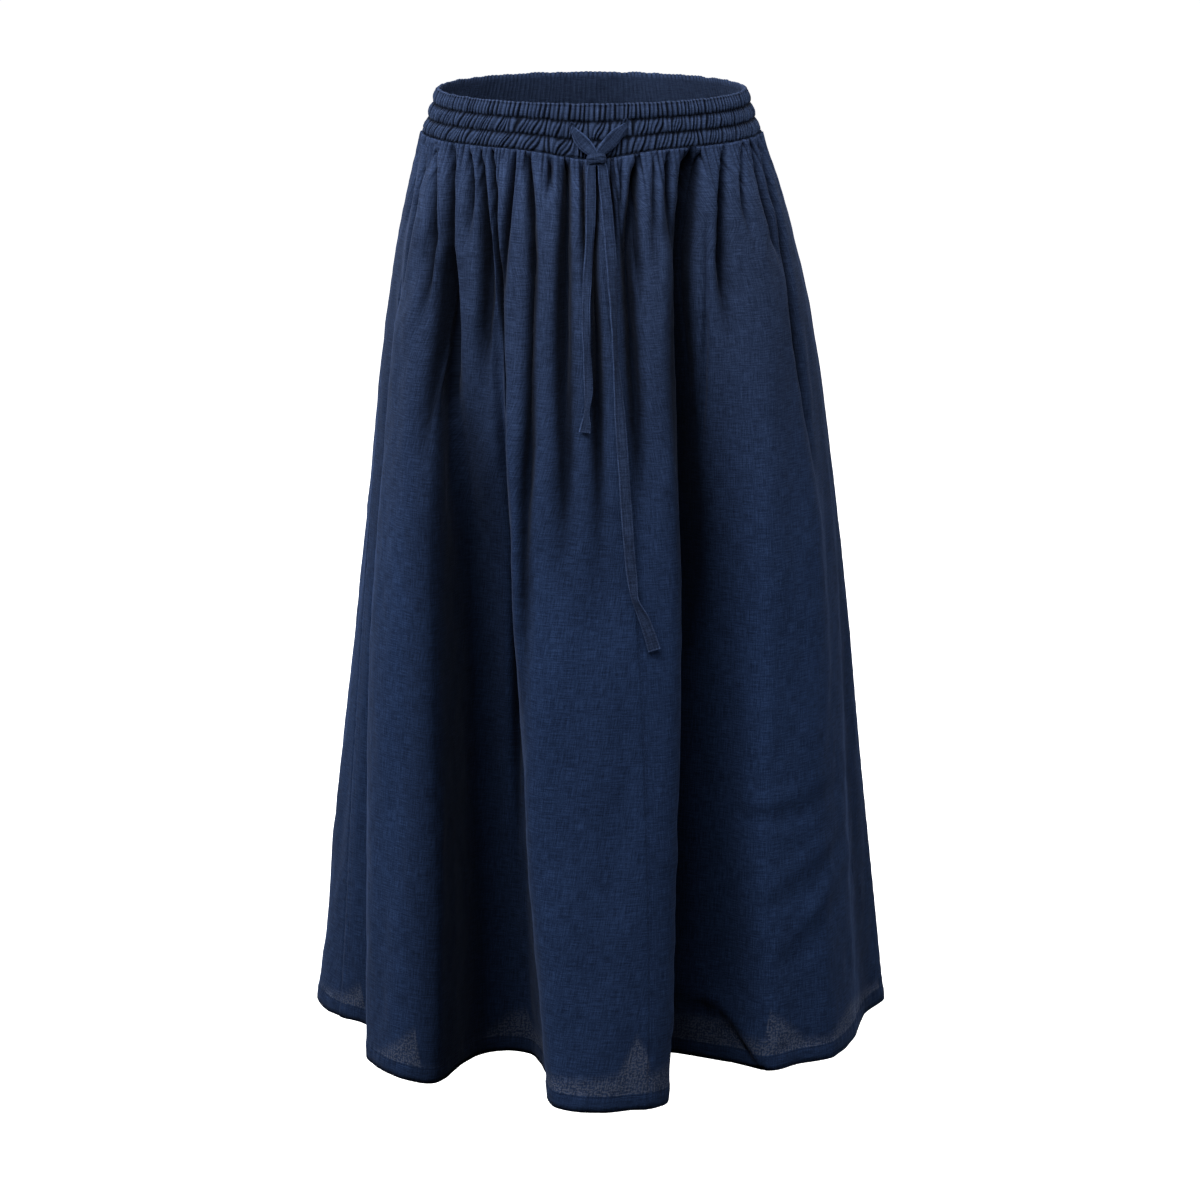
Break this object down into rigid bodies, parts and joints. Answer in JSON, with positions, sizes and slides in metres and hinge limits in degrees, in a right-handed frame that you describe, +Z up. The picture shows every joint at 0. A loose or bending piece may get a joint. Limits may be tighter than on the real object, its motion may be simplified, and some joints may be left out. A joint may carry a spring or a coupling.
{
  "type": "drawstring skirt",
  "caption": "Long gathered linen skirt with a shirred elastic waistband, a flat drawstring knotted at the front and deep soft folds that open to a wide hem.",
  "frame": {"origin": "centre of the waistband at half its height, where the wearer's waist holds the skirt", "axes": "+Z up along the wearer, -Y out of the front, +X to the right of someone looking at the front"},
  "size_m": [0.5123, 0.4858, 0.8226],
  "materials": {
    "waistband_linen": "matt navy linen, shirred on elastic",
    "skirt_linen": "matt navy linen, slubby plain weave",
    "skirt_linen_back": "matt navy linen, slubby plain weave",
    "tie_linen": "flat sewn tie of the same navy linen"
  },
  "bodies": {
    "root": {"waistband": "waistband_linen", "front_panel_left": "skirt_linen", "front_panel_right": "skirt_linen", "back_panel": "skirt_linen_back", "tie_strand_left": "tie_linen", "tie_strand_right": "tie_linen", "tie_knot": "tie_linen", "tie_tail_left": "tie_linen", "tie_tail_right": "tie_linen"}
  },
  "joints": []
}
